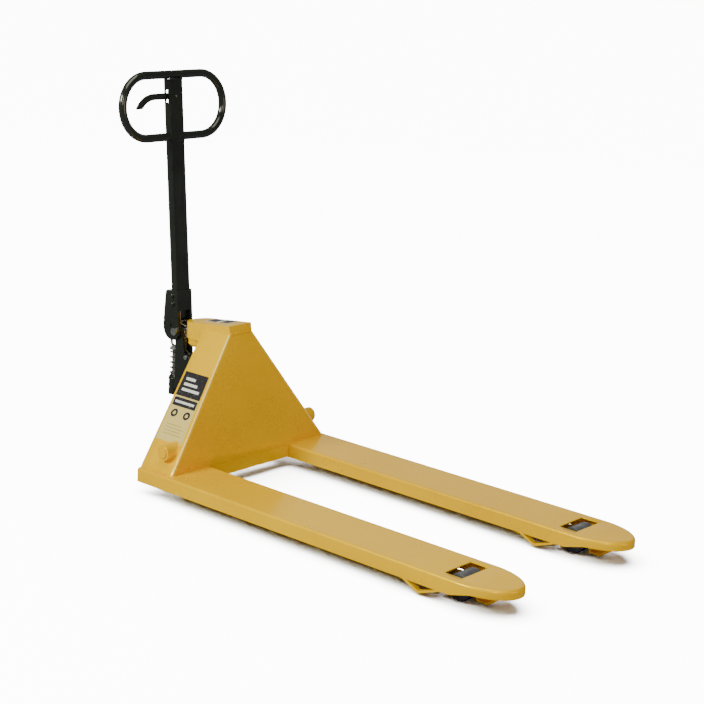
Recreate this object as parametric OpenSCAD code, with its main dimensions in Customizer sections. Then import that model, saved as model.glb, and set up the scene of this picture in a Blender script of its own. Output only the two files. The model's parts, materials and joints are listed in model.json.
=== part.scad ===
// Hand pallet jack: a fork frame that rises on a hydraulic pump with a steering
// axle and a tiller, and two load rollers in the fork tips driven by push rods.
// +X points along the forks, +Y to the left, +Z up. Millimetres.

/* [Forks] */
// Width over both forks
overall_w = 686; // [660:1:710]
// Width of one fork
fork_w = 173; // [168:1:178]
// Fork length from the A-frame's foot to the tip
fork_len = 1202; // [1196:1:1215]
// Height of the lowered fork tops
fork_top = 75; // [75:0.5:78]
// Depth of the fork's side flanges
fork_depth = 42; // [40:0.5:46]
// Thickness of the fork's steel sheet
fork_t = 5; // [4:0.5:5]
// Length of the rounded nose
nose_len = 137; // [120:1:140]
// Depth of the skirt around the nose
nose_depth = 25; // [22:1:28]
// Length of the roller window, along the fork
window_len = 58; // [56:1:60]
// Width of the roller window
window_w = 112; // [108:1:114]

/* [A-frame] */
// Backward lean of the front panel in degrees
panel_lean = 9.08; // [8.5:0.1:9.5]
// Half width of the panel at the fork tops
panel_half = 327; // [324:1:328]
// Height at which the panel's two edges would meet
apex_z = 510; // [505:1:515]
// Thickness of the panel and the side flanges
frame_t = 6; // [5:0.5:6]
// Half width of the head block
head_half = 47; // [45:1:48]
// Height of the head's front lip
head_z = 472; // [470:1:474]

/* [Lift] */
// Lift height of the forks
lift_h = 120; // [110:1:120]
// Diameter of a load roller
roller_d = 74; // [72:1:74]
// Width of a load roller
roller_w = 72; // [66:1:72]
// Length of the roller yoke, pivot to roller axle
yoke_len = 175; // [172:1:178]
// Height of the yoke pivot with the forks down
yoke_pivot_z = 26; // [25:0.5:27]
// Length of the yoke's push-rod arm
yoke_arm = 29; // [28:0.5:30]
// Length of the rocker's rear arms
rocker_len = 184; // [182:1:186]

/* [Pump and wheels] */
// Distance of the steering axis behind the panel's foot
axis_back = 228; // [226:1:230]
// Diameter of a steer wheel
wheel_d = 160; // [156:1:162]
// Width of a steer wheel
wheel_w = 48; // [44:1:49]
// Radius of the pump reservoir
pump_r = 40; // [38:0.5:40]
// Radius of the lifting ram
ram_r = 16; // [15:0.5:16]

/* [Handle] */
// Backward lean of the upright tiller in degrees
tiller_lean = 5.1; // [4.5:0.1:5.5]
// Swing of the tiller from upright to down in degrees
tiller_swing = 72; // [65:1:75]
// Height of the tiller pivot
tiller_z = 405; // [403:1:407]
// Overall width of the grip loop
loop_w = 437; // [420:1:445]
// Overall height of the grip loop
loop_h = 212; // [205:1:216]
// Diameter of the grip tube
loop_d = 25; // [22:0.5:26]
// Distance from the pivot to the centre of the loop's top bar
loop_reach = 786.6; // [770:0.1:790]

/* [Hidden] */
$fn = 96;

// Colours
yellow = "#dfb82f";
black = "#232523";
steel = "#9a9da0";
dark_steel = "#4b4f55";
rubber = "#2b2c2e";

// Clearances
running = 0.05;

// Places worked out from the driving dimensions
fork_y = (overall_w - fork_w) / 2;
fork_in = overall_w / 2 - fork_w;
flange_z = fork_top - fork_depth;
skin_z = fork_top - fork_t;
seat_z = fork_top - 0.5;
heel_x = -130;
seat_x = 4;
window_x = 1028.5;
side_lean = atan(panel_half / (apex_z - fork_top));
axis_x = -axis_back;
tiller_x = -314.6;
loop_rear = tiller_x - loop_reach * sin(tiller_lean) - loop_d / 2;
mid_x = (fork_len + loop_rear) / 2;

// Roller and yoke
roller_r = roller_d / 2;
roller_x = 1032;
yoke_rest = asin((roller_r - yoke_pivot_z) / yoke_len);
yoke_x = roller_x - yoke_len * cos(yoke_rest);
yoke_end = asin((lift_h + yoke_pivot_z - roller_r) / yoke_len);
yoke_turn = yoke_end + yoke_rest;
rod_travel = 2 * yoke_arm * sin(yoke_turn / 2);
rod_pin_x = yoke_x - yoke_arm * sin(yoke_turn / 2);
rod_z = yoke_pivot_z + yoke_arm * cos(yoke_turn / 2);

// Rocker
rocker_x = -50;
rocker_z = 134;
rocker_turn = 2 * asin(lift_h / 2 / rocker_len);
rocker_arm = rod_travel / 2 / sin(rocker_turn / 2);
pad_x = rocker_x - rocker_len * cos(rocker_turn / 2);
pad_z = rocker_z + lift_h / 2;
pad_r = 12;
ledge_z = pad_z - pad_r - 0.6;
eye_x = rocker_x - rocker_arm * sin(rocker_turn / 2);
eye_z = rocker_z - rocker_arm * cos(rocker_turn / 2);
shaft_r = 15;
shaft_end = 322;

// Pump
axle_z = wheel_d / 2;
axle_r = 12;
collar_z = wheel_d + 8;
shoulder_z = wheel_d + 1;
pump_top = 343;
barrel_x = -344;
barrel_low = 194;
barrel_top = 257;
ram_low = 205;
ram_top = 424;
head_low = 400;
boss_low = 373;

// Tiller
cam_r = 11;
cam_arm = 32;
cam_rise = tiller_swing / 2;
cam_x = tiller_x - cam_arm * cos(cam_rise);
cam_z = tiller_z + cam_arm * sin(cam_rise);
plunger_top = cam_z - cam_r - 0.6;
plunger_travel = 2 * cam_arm * sin(tiller_swing / 2);
cup_z = 338;
valve_x = -274;
valve_z = 328;
valve_r = 3.9;
chain_x = -299;
post_w = 54;
post_d = 24;
post_t = 4;
post_low = 70;
post_top = loop_reach - loop_d / 2;
loop_r = (loop_h - loop_d) / 2;
loop_z = loop_reach - loop_r;
loop_half = (loop_w - loop_h) / 2;
lever_z = 722;
lever_half = 9.5;
lever_bend = 75;
lever_run = 78;
rod_x = 5.8;
rod_y = -12;
bolt_x = -5;
wheel_in = 27;

// ---------------------------------------------------------------- helpers

module at_origin() { translate([-mid_x, 0, 0]) children(); }

// Draws its children on the left, or mirrored on the right
module side(left) {
  at_origin()
  if (left) children();
  else mirror([0, 1, 0]) children();
}

// Extrudes an X-Z outline across Y, from y0 to y1
module across(y0, y1) {
  translate([0, y1, 0]) rotate([90, 0, 0]) linear_extrude(y1 - y0) children();
}

// A round bar along Y
module y_bar(x, z, r, y0, y1) {
  translate([x, y0, z]) rotate([-90, 0, 0]) cylinder(h = y1 - y0, r = r);
}

// A round bar between two points
module bar(a, b, r) {
  d = b - a;
  turn = atan2(d[1], d[0]);
  tip = acos(d[2] / norm(d));
  translate(a) rotate([0, tip, turn]) cylinder(h = norm(d), r = r);
}

// Flat link outline with round ends, its edges set in a little from them
module link_2d(a, ra, b, rb) {
  along = (b - a) / norm(b - a);
  out = [-along[1], along[0]];
  inset = 0.2;
  polygon([a + (ra - inset) * out, b + (rb - inset) * out,
           b - (rb - inset) * out, a - (ra - inset) * out]);
  translate(a) circle(r = ra);
  translate(b) circle(r = rb);
}

// ------------------------------------------------------------------ forks

// Plan outline of one fork, set in from its edge by c, from x0 to the nose
module fork_plan(c, x0) {
  half = fork_w / 2 - c;
  start = fork_len - nose_len;
  reach = nose_len - c;
  steps = 28;
  polygon(concat(
    [[x0, fork_y - half]],
    [for (i = [0 : steps])
      let (a = -90 + 180 * i / steps)
      [start + reach * cos(a), fork_y + half * sin(a)]],
    [[x0, fork_y + half]]));
}

// Everything below the nose's shallow skirt
module nose_relief() {
  slope_x = fork_len - 165;
  skirt_z = fork_top - nose_depth;
  across(0, overall_w)
    polygon([[slope_x, flange_z - 1], [slope_x, flange_z],
             [slope_x + 65, skirt_z], [fork_len + 5, skirt_z],
             [fork_len + 5, flange_z - 1]]);
}

// Pressed fork, its top a little lower at the heel, where the A-frame sits
module fork() {
  difference() {
    translate([0, 0, flange_z]) linear_extrude(fork_depth) fork_plan(0, heel_x);
    translate([0, 0, flange_z - 1])
      linear_extrude(fork_depth - fork_t + 1) fork_plan(fork_t, heel_x + fork_t);
    nose_relief();
    translate([window_x - window_len / 2, fork_y - window_w / 2, skin_z - 1])
      cube([window_len, window_w, fork_t + 2]);
    translate([heel_x + 18, fork_in + 44, skin_z - 1])
      cube([-heel_x - 26, 82, fork_t + 2]);
    translate([heel_x - 1, fork_in - 1, seat_z]) cube([seat_x - heel_x + 1, fork_w + 2, 2]);
  }
}
module fork_left() { color(yellow) side(true) fork(); }
module fork_right() { color(yellow) side(false) fork(); }

// Two stiffening bars under the fork's skin, one each side of the push rod
module fork_ribs() {
  for (s = [-1, 1])
    translate([40, fork_y + s * 32 - 2.5, skin_z - 22]) cube([740, 5, 22]);
}
module fork_ribs_left() { color(yellow) side(true) fork_ribs(); }
module fork_ribs_right() { color(yellow) side(false) fork_ribs(); }

// V-shaped ramps that slide the roller pocket off a pallet board
module exit_ramps() {
  half = fork_w / 2;
  for (y0 = [-half, half - 16])
    across(fork_y + y0, fork_y + y0 + 16)
      polygon([[884, flange_z], [936, 8], [944, 8], [1012, flange_z],
               [998, flange_z], [942, 14.5], [938, 14.5], [899, flange_z]]);
}
module exit_ramps_left() { color(yellow) side(true) exit_ramps(); }
module exit_ramps_right() { color(yellow) side(false) exit_ramps(); }

// Bent skid bar under the nose
module nose_skid() {
  across(fork_y - 20, fork_y + 20)
    polygon([[1078, skin_z], [1078, 10], [1114, 9], [1164, 44], [1164, skin_z],
             [1158, skin_z], [1158, 47.5], [1112, 15], [1084, 15.5],
             [1084, skin_z]]);
}
module nose_skid_left() { color(yellow) side(true) nose_skid(); }
module nose_skid_right() { color(yellow) side(false) nose_skid(); }

// Plates under the skin that hold the yoke's pivot
module yoke_brackets() {
  for (y0 = [-52.5, 46.5])
    across(fork_y + y0, fork_y + y0 + 6)
      difference() {
        union() {
          polygon([[yoke_x - 34, skin_z], [yoke_x - 13, yoke_pivot_z],
                   [yoke_x + 13, yoke_pivot_z], [yoke_x + 30, skin_z]]);
          translate([yoke_x, yoke_pivot_z]) circle(r = 14);
        }
        translate([yoke_x, yoke_pivot_z]) circle(r = 8);
      }
}
module yoke_brackets_left() { color(yellow) side(true) yoke_brackets(); }
module yoke_brackets_right() { color(yellow) side(false) yoke_brackets(); }

module yoke_pivot() {
  y_bar(yoke_x, yoke_pivot_z, 8, fork_y - 56, fork_y + 56);
}
module yoke_pivot_left() { color(steel) side(true) yoke_pivot(); }
module yoke_pivot_right() { color(steel) side(false) yoke_pivot(); }

// ---------------------------------------------------------------- A-frame

// Side-flange slab in its own leaning plane: x along X, z up the slope
module flange_slab(outline, y0, y1) {
  translate([0, panel_half, fork_top]) rotate([side_lean, 0, 0])
    translate([0, -y0, 0]) rotate([90, 0, 0]) linear_extrude(y1 - y0)
      polygon([for (p = outline) [p[0], (p[1] - fork_top) / cos(side_lean)]]);
}

// Panel slab in its own leaning plane, from depth d0 to depth d1
module panel_slab(d0, d1, half, top) {
  rise = (apex_z - fork_top) / cos(panel_lean);
  high = (top - fork_top) / cos(panel_lean);
  translate([0, 0, fork_top]) rotate([0, -panel_lean, 0])
    translate([-d1, 0, 0]) rotate([90, 0, 90]) linear_extrude(d1 - d0)
      polygon([[-half, -20], [half, -20], [half, 0],
               [half * (1 - high / rise), high],
               [-half * (1 - high / rise), high], [-half, 0]]);
}

module head_envelope() {
  top_drop = tan(6.5);
  front_x = -tan(panel_lean) * (head_z - fork_top);
  rear_x = axis_x - 45;
  difference() {
    union() {
      translate([axis_x, 0, head_low]) cylinder(h = 80, r = 45);
      translate([axis_x, -45, head_low]) cube([60, 90, 80]);
      translate([axis_x + 60, -head_half, head_low])
        cube([front_x + 30 - axis_x - 60, 2 * head_half, 80]);
    }
    across(-60, 60)
      polygon([[rear_x - 5, head_z - top_drop * (front_x - rear_x + 5)],
               [front_x + 20, head_z + top_drop * 20],
               [front_x + 20, head_z + 40], [rear_x - 5, head_z + 40]]);
    translate([0, 0, fork_top]) rotate([0, -panel_lean, 0])
      translate([0, -100, 0]) cube([60, 200, 500]);
  }
}

module head_block() {
  color(yellow) at_origin() difference() {
    union() {
      difference() {
        head_envelope();
        panel_slab(-1, frame_t, panel_half, 449);
        across(-60, 60) polygon([[axis_x + 62, head_low - 1], [-40, head_low - 1],
                                 [-40, 434], [axis_x + 76, 434]]);
      }
      translate([axis_x, 0, boss_low + 8]) cylinder(h = head_low - boss_low - 8, r = 40);
      translate([axis_x, 0, boss_low]) cylinder(h = 8, r1 = 32, r2 = 40);
    }
    translate([axis_x, 0, boss_low - 1]) cylinder(h = ram_top - boss_low + 1, r = ram_r + running);
  }
}

module front_panel() {
  color(yellow) at_origin() difference() {
    panel_slab(0, frame_t, panel_half, 449);
    translate([-20, -400, 0]) cube([40, 800, seat_z]);
  }
}

module side_flange() {
  top = 448;
  lean_x = tan(panel_lean);
  difference() {
    flange_slab([[0, 60], [-lean_x * (top - fork_top), top], [-169, top],
                 [-165, 405], [-134, fork_top], [-134, 60]], 0, frame_t);
    translate([-200, 0, 0]) cube([400, 400, seat_z]);
    translate([0, 0, fork_top]) rotate([0, -panel_lean, 0])
      translate([-frame_t, -400, -30]) cube([60, 800, 520]);
    head_envelope();
    y_bar(rocker_x, rocker_z, shaft_r, 200, 400);
  }
}
module side_flange_left() { color(yellow) side(true) side_flange(); }
module side_flange_right() { color(yellow) side(false) side_flange(); }

// Angle-section beam that ties the two forks together at the panel's foot
module cross_beam() {
  color(yellow) at_origin() {
    translate([-frame_t, -fork_in, flange_z + 2])
      cube([frame_t, 2 * fork_in, seat_z - flange_z - 2]);
    translate([-70, -fork_in, flange_z + 2]) cube([70, 2 * fork_in, 6]);
  }
}

module rocker_shaft() {
  color(steel) at_origin() y_bar(rocker_x, rocker_z, shaft_r, -shaft_end, shaft_end);
}

// Round boss outside the flange around the shaft's end
module shaft_boss() {
  difference() {
    y_bar(rocker_x, rocker_z, 23, 250, shaft_end - 4);
    y_bar(rocker_x, rocker_z, shaft_r, 240, shaft_end + 1);
    flange_slab([[-200, -40], [100, -40], [100, 400], [-200, 400]], 0, 200);
  }
}
module shaft_boss_left() { color(yellow) side(true) shaft_boss(); }
module shaft_boss_right() { color(yellow) side(false) shaft_boss(); }

// ----------------------------------------------------------- lift linkage

module rocker() {
  pivot = [rocker_x, rocker_z];
  color(yellow) at_origin() difference() {
    union() {
      y_bar(rocker_x, rocker_z, 22, -248, 248);
      for (s = [-1, 1]) {
        across(s * 73 - 5, s * 73 + 5) link_2d(pivot, 25, [pad_x, pad_z], pad_r - 4);
        y_bar(pad_x, pad_z, pad_r, s * 73 - 5, s * 73 + 5);
        across(s * 242 - 6, s * 242 + 6) link_2d(pivot, 24, [eye_x, eye_z], 13);
      }
      y_bar(pad_x + 62, pad_z - 20.5, 9, -70, 70);
    }
    y_bar(rocker_x, rocker_z, shaft_r + running, -300, 300);
    for (s = [-1, 1])
      y_bar(eye_x, eye_z, 7, s * 242 - 10, s * 242 + 10);
  }
}

module rod_pin() {
  y_bar(eye_x, eye_z, 7, 232, 267);
  y_bar(eye_x, eye_z, 11, 265, 270);
}
module rod_pin_left() { color(steel) side(true) rod_pin(); }
module rod_pin_right() { color(steel) side(false) rod_pin(); }

module push_rod() {
  eye = [eye_x, fork_y, eye_z];
  knee = [eye_x + 24, fork_y, rod_z];
  front = [rod_pin_x - 8, fork_y, rod_z];
  slot = 4.4;
  rod_r = 7;
  difference() {
    union() {
      across(fork_y - 8, fork_y + 8) translate([eye_x, eye_z]) circle(r = 12);
      bar(eye + 0.16 * (knee - eye), knee, rod_r);
      translate(knee) sphere(r = rod_r + 1);
      bar(knee, front, rod_r);
      across(fork_y - 8, fork_y + 8) {
        translate([rod_pin_x, rod_z]) circle(r = 11);
        translate([rod_pin_x - 11, rod_z]) square([22, slot]);
        translate([rod_pin_x, rod_z + slot]) circle(r = 11);
      }
    }
    across(fork_y - 10, fork_y + 10) {
      translate([eye_x, eye_z]) circle(r = 7 + running);
      translate([rod_pin_x, rod_z]) circle(r = 7.4);
      translate([rod_pin_x - 7.4, rod_z]) square([14.8, slot]);
      translate([rod_pin_x, rod_z + slot]) circle(r = 7.4);
    }
  }
}
module push_rod_left() { color(dark_steel) side(true) push_rod(); }
module push_rod_right() { color(dark_steel) side(false) push_rod(); }

module yoke() {
  pivot = [yoke_x, yoke_pivot_z];
  difference() {
    union() {
      for (y0 = [-44.5, 38.5])
        across(fork_y + y0, fork_y + y0 + 6) {
          link_2d(pivot, 15, [roller_x, roller_r], 16);
          link_2d(pivot, 14, [rod_pin_x, rod_z], 11);
        }
      y_bar(yoke_x, yoke_pivot_z, 13, fork_y - 40, fork_y + 40);
    }
    y_bar(yoke_x, yoke_pivot_z, 8 + running, fork_y - 60, fork_y + 60);
    y_bar(roller_x, roller_r, 10, fork_y - 60, fork_y + 60);
    y_bar(rod_pin_x, rod_z, 7, fork_y - 60, fork_y + 60);
  }
}
module yoke_left() { color(yellow) side(true) yoke(); }
module yoke_right() { color(yellow) side(false) yoke(); }

module yoke_rod_pin() { y_bar(rod_pin_x, rod_z, 7, fork_y - 45.5, fork_y + 45.5); }
module yoke_rod_pin_left() { color(steel) side(true) yoke_rod_pin(); }
module yoke_rod_pin_right() { color(steel) side(false) yoke_rod_pin(); }

module roller_axle() { y_bar(roller_x, roller_r, 10, fork_y - 47, fork_y + 47); }
module roller_axle_left() { color(steel) side(true) roller_axle(); }
module roller_axle_right() { color(steel) side(false) roller_axle(); }

module load_roller() {
  w = roller_w / 2;
  translate([roller_x, fork_y, roller_r]) rotate([90, 0, 0])
    rotate_extrude()
      polygon([[10 + running, -w], [20, -w], [20, -w + 1.5], [25, -w + 1.5],
               [25, -w], [roller_r - 3, -w], [roller_r, -w + 3],
               [roller_r, w - 3], [roller_r - 3, w], [25, w], [25, w - 1.5],
               [20, w - 1.5], [20, w], [10 + running, w]]);
}
module load_roller_left() { color(dark_steel) side(true) load_roller(); }
module load_roller_right() { color(dark_steel) side(false) load_roller(); }

// --------------------------------------------------- pump, axle and wheels

// Bearing collar around the pump that the rocker's arms press down on
module thrust_collar() {
  color(dark_steel) at_origin() difference() {
    union() {
      translate([axis_x, 0, collar_z]) cylinder(h = ledge_z - collar_z - 3, r = 54);
      for (s = [-1, 1])
        translate([axis_x - 20, s * 65 - 17, ledge_z - 14]) cube([28.5, 34, 14]);
    }
    translate([axis_x, 0, collar_z - 1]) cylinder(h = 60, r = pump_r + running);
  }
}

module pump_body() {
  base_half = 25;
  block_z = pump_top - 6;
  web_low = 216;
  color(black) at_origin() difference() {
    union() {
      across(-base_half, base_half)
        polygon([[axis_x - 24, axle_z - 25], [axis_x + 24, axle_z - 25],
                 [axis_x + 34, axle_z - 13], [axis_x + 34, shoulder_z],
                 [axis_x - 34, shoulder_z], [axis_x - 34, axle_z - 13]]);
      translate([axis_x, 0, shoulder_z]) cylinder(h = collar_z - shoulder_z, r = 48);
      translate([axis_x, 0, collar_z]) cylinder(h = block_z - collar_z, r = pump_r);
      translate([axis_x, 0, block_z]) cylinder(h = 6, r1 = pump_r, r2 = pump_r - 5);
      translate([barrel_x, 0, barrel_low]) cylinder(h = barrel_top - barrel_low - 6, r = 18);
      translate([barrel_x, 0, barrel_top - 6]) cylinder(h = 6, r1 = 18, r2 = 13);
      across(-13, 13)
        polygon([[barrel_x, web_low], [axis_x, web_low], [axis_x, 262], [-322, 262],
                 [-328, 250], [barrel_x, 250]]);
      across(-19.5, 19.5)
        polygon([[-322, 262], [axis_x, 262], [axis_x, block_z - 0.5], [-322, block_z - 0.5]]);
      for (y0 = [-19.5, 9.5])
        across(y0, y0 + 10) {
          translate([tiller_x, tiller_z]) circle(r = 17);
          polygon([[-322, block_z - 1], [-284, block_z - 1], [-284, 348],
                   [tiller_x + 17, tiller_z], [tiller_x - 12, tiller_z]]);
        }
    }
    translate([axis_x, 0, ram_low - 22]) cylinder(h = 200, r = ram_r + running);
    translate([axis_x, 0, pump_top - 12]) cylinder(h = 20, r = 25);
    translate([barrel_x, 0, barrel_low + 8]) cylinder(h = 100, r = 9 + running);
    y_bar(axis_x, axle_z, axle_r, -40, 40);
    y_bar(tiller_x, tiller_z, 8 + running, -40, 40);
    across(-9.5, 9.5) polygon([[-306, 318], [-263, 318], [-263, 349], [-306, 349]]);
    y_bar(valve_x, valve_z, valve_r, -21, 21);
  }
}

module gland_nut() {
  color(steel) at_origin() difference() {
    translate([axis_x, 0, pump_top - 12]) cylinder(h = 14, r = 25);
    translate([axis_x, 0, pump_top - 14]) cylinder(h = 18, r = ram_r + running);
    for (a = [0 : 90 : 270])
      rotate_about(axis_x, a) translate([axis_x + 21, 0, pump_top - 3])
        cylinder(h = 8, r = 2.2);
  }
}
module rotate_about(x, a) {
  translate([x, 0, 0]) rotate([0, 0, a]) translate([-x, 0, 0]) children();
}

module ram() {
  color(steel) at_origin() {
    translate([axis_x, 0, ram_low]) cylinder(h = ram_top - ram_low - 3, r = ram_r);
    translate([axis_x, 0, ram_top - 3]) cylinder(h = 3, r1 = ram_r, r2 = ram_r - 3);
  }
}

module axle() { color(steel) at_origin() y_bar(axis_x, axle_z, axle_r, -82, 82); }

module wheel_ring(profile) {
  translate([axis_x, wheel_in + wheel_w / 2, axle_z]) rotate([90, 0, 0])
    rotate_extrude() polygon(profile);
}
module wheel_hub() {
  w = wheel_w / 2;
  difference() {
    wheel_ring([[axle_r + running, -w], [27, -w], [30, -w + 3], [30, -9], [50, -7],
                [52, -w + 3], [62, -w + 3], [62, w - 3], [52, w - 3], [50, 7],
                [30, 9], [30, w - 3], [27, w], [axle_r + running, w]]);
    for (a = [30 : 60 : 330])
      y_bar(axis_x + 40 * cos(a), axle_z + 40 * sin(a), 7, wheel_in, wheel_in + wheel_w);
  }
}
module wheel_hub_left() { color(dark_steel) side(true) wheel_hub(); }
module wheel_hub_right() { color(dark_steel) side(false) wheel_hub(); }

module wheel_tyre() {
  w = wheel_w / 2;
  r = wheel_d / 2;
  wheel_ring([[62, -w + 1], [r - 7, -w + 1], [r - 3, -w + 3], [r, -w + 8],
              [r, w - 8], [r - 3, w - 3], [r - 7, w - 1], [62, w - 1]]);
}
module wheel_tyre_left() { color(rubber) side(true) wheel_tyre(); }
module wheel_tyre_right() { color(rubber) side(false) wheel_tyre(); }

// Snap rings that keep the wheels on the axle
module axle_rings() {
  out = wheel_in + wheel_w + 0.5;
  color(steel) at_origin()
    for (y0 = [out, -out - 3])
      difference() {
        y_bar(axis_x, axle_z, 17, y0, y0 + 3);
        y_bar(axis_x, axle_z, axle_r, y0 - 1, y0 + 4);
      }
}

// ----------------------------------------------------------------- tiller

// Places the upright tiller's own frame on its pivot
module on_tiller() {
  translate([tiller_x, 0, tiller_z]) rotate([0, -tiller_lean, 0]) children();
}

module handle_socket() {
  color(black) at_origin() difference() {
    on_tiller() difference() {
      across(-31, 31)
        polygon([[16, 128], [-32, 128], [-36, 120], [-49, 40], [-52, 18], [-51, 2],
                 [-45, -12], [-36, -22], [-22, -28], [-6, -28], [6, -22], [13, -12],
                 [16, 0]]);
      across(-20.5, 20.5)
        polygon([[-60, -40], [40, -40], [40, 64], [-34, 64], [-60, 52]]);
      translate([-post_d / 2, -post_w / 2, post_low]) cube([post_d, post_w, 80]);
      translate([rod_x - 1, rod_y, 50]) cylinder(h = 40, r = 3.5);
      for (z = [85, 111]) y_bar(bolt_x, z, 5, -40, 40);
    }
    y_bar(tiller_x, tiller_z, 8, -40, 40);
    y_bar(cam_x, cam_z, 5, -40, 40);
  }
}

module handle_pivot_pin() {
  color(steel) at_origin() {
    y_bar(tiller_x, tiller_z, 8, -34, 33);
    y_bar(tiller_x, tiller_z, 12, -38, -31);
    y_bar(tiller_x, tiller_z, 11, 31, 34);
  }
}

module cam_roller() {
  color(steel) at_origin() difference() {
    y_bar(cam_x, cam_z, cam_r, -19, 19);
    y_bar(cam_x, cam_z, 5 + running, -20, 20);
  }
}

module cam_roller_pin() {
  color(steel) at_origin() {
    y_bar(cam_x, cam_z, 5, -32, 32);
    y_bar(cam_x, cam_z, 8, -35, -31);
  }
}

// Channel-section post, open towards the operator
module handle_post() {
  color(black) at_origin() on_tiller() difference() {
    translate([-post_d / 2, -post_w / 2, post_low])
      cube([post_d, post_w, post_top - post_low]);
    translate([-post_d / 2 - 1, -post_w / 2 + post_t, post_low - 1])
      cube([post_d - post_t + 1, post_w - 2 * post_t, post_top - post_low + 2]);
    translate([-7, -post_w / 2 - 1, lever_z - 19]) cube([11, 10, 38]);
    translate([0, 0, lever_z]) rotate([0, 90, 0]) cylinder(h = 20, r = 3);
    for (z = [85, 111]) y_bar(bolt_x, z, 5, -40, 40);
  }
}

module half_loop() {
  translate([0, loop_half, loop_z]) rotate([0, 90, 0])
    rotate_extrude(angle = 180) translate([loop_r, 0]) circle(d = loop_d);
}
module grip_loop() {
  color(black) at_origin() on_tiller() difference() {
    union() {
      half_loop();
      mirror([0, 1, 0]) half_loop();
      for (z = [loop_z - loop_r, loop_z + loop_r])
        y_bar(0, z, loop_d / 2, -loop_half, loop_half);
    }
    translate([-post_d / 2 - 1.5, -post_w / 2, 0])
      cube([post_d + 3, post_w, post_top]);
  }
}

module socket_bolts() {
  color(steel) at_origin() on_tiller()
    for (z = [85, 111]) {
      y_bar(bolt_x, z, 5, -34, 34);
      y_bar(bolt_x, z, 8.5, -37, -31);
      y_bar(bolt_x, z, 8.5, 31, 37);
    }
}

// Curved finger lever in the right half of the loop
module release_lever() {
  outer = lever_bend + lever_half;
  color(black) at_origin() on_tiller() difference() {
    translate([-5, 0, 0]) rotate([90, 0, 90]) linear_extrude(7) {
      translate([0, lever_z]) circle(r = lever_half);
      translate([-lever_run, lever_z - lever_half]) square([lever_run, 2 * lever_half]);
      translate([-lever_run, lever_z - lever_bend])
        intersection() {
          difference() {
            circle(r = outer);
            circle(r = lever_bend - lever_half);
          }
          polygon([[0, 0], [0, 2 * outer], [-2 * outer, 2 * outer],
                   [-2 * outer, 41], [-20, 41]]);
        }
    }
    translate([-10, 0, lever_z]) rotate([0, 90, 0]) cylinder(h = 20, r = 3 + running);
  }
}

// Pin in the post's web that the finger lever turns on
module lever_pin() {
  color(steel) at_origin() on_tiller()
    translate([0, 0, lever_z]) rotate([0, 90, 0]) {
      translate([0, 0, -6]) cylinder(h = 19, r = 3);
      translate([0, 0, -8]) cylinder(h = 2.5, r = 5.5);
    }
}

// Pull rod inside the post: its hook lies over the finger lever
module release_rod() {
  low = 30;
  hook_z = lever_z + lever_half + 2.6;
  color(steel) at_origin() on_tiller() translate([rod_x, rod_y, 0]) {
    translate([0, 0, low]) cylinder(h = hook_z + 1 - low, r = 2);
    translate([0, 0, low - 8]) cylinder(h = 9, r = 3.2);
    bar([0, 0, low - 6], [11, 12, 14], 1.6);
    translate([11, 12, 14]) sphere(r = 2.6);
    translate([0, 0, hook_z]) rotate([0, -90, 0]) cylinder(h = 10, r = 1.6);
  }
}

// Chain links between the tiller pivot and the valve lever
module chain_link(turned) {
  wire = 1.5;
  rotate([0, 0, turned ? 90 : 0]) {
    for (s = [-1, 1]) translate([s * 3.7, 0, -3]) cylinder(h = 6, r = wire);
    for (s = [0, 180]) translate([0, 0, s == 0 ? 3 : -3]) rotate([90, s, 0])
      rotate_extrude(angle = 180) translate([3.7, 0]) circle(r = wire);
  }
}
module release_chain() {
  pitch = 10.3;
  color(steel) at_origin()
    for (i = [0 : 5])
      translate([chain_x, 0, 356 + pitch * i]) chain_link(i % 2 == 0);
}

// Small lever on the pump that opens the lowering valve
module valve_lever() {
  color(steel) at_origin() difference() {
    union() {
      across(-4, 4) link_2d([valve_x, valve_z], 7, [chain_x, valve_z + 14], 4);
      y_bar(valve_x, valve_z, 7, -8, 8);
    }
    y_bar(valve_x, valve_z, valve_r + running, -10, 10);
  }
}

module valve_screw() {
  color(steel) at_origin() {
    y_bar(valve_x, valve_z, valve_r, -22, 22);
    y_bar(valve_x, valve_z, 7, -24, -20);
    y_bar(valve_x, valve_z, 7, 20, 24);
  }
}

// ------------------------------------------------------------ plunger set

// Plunger rod with its spring cup, ring plate and tappet
module plunger() {
  color(steel) at_origin() {
    translate([barrel_x, 0, barrel_low + 50]) cylinder(h = cup_z - barrel_low - 50, r = 9);
    translate([barrel_x, 0, cup_z]) cylinder(h = 7, r = 17);
    difference() {
      across(-2.5, 2.5) {
        translate([barrel_x - 4, 361]) circle(r = 16);
        polygon([[barrel_x - 14, 345], [barrel_x + 8, 345], [barrel_x + 6, 384],
                 [barrel_x - 6, 384]]);
      }
      y_bar(barrel_x - 4, 361, 9, -5, 5);
    }
    translate([barrel_x, 0, 374]) cylinder(h = plunger_top - 374, r = 7);
  }
}

// Return spring: round wire swept along a helix around the plunger
module plunger_spring() {
  wire = 3;
  low = barrel_top + wire + 0.1;
  high = cup_z - wire - 0.1;
  turns = 4;
  rings = 24 * turns;
  sides = 10;
  mean_r = 13;
  points = [for (i = [0 : rings], j = [0 : sides - 1])
    let (a = 360 * turns * i / rings, b = 360 * j / sides,
         r = mean_r + wire * cos(b))
    [r * cos(a), r * sin(a), low + (high - low) * i / rings + wire * sin(b)]];
  walls = [for (i = [0 : rings - 1], j = [0 : sides - 1])
    let (k = (j + 1) % sides)
    [i * sides + j, (i + 1) * sides + j, (i + 1) * sides + k, i * sides + k]];
  ends = [[for (j = [0 : sides - 1]) j],
          [for (j = [sides - 1 : -1 : 0]) rings * sides + j]];
  color(dark_steel) at_origin() translate([barrel_x, 0, 0])
    polyhedron(points, concat(walls, ends), convexity = 10);
}

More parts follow.
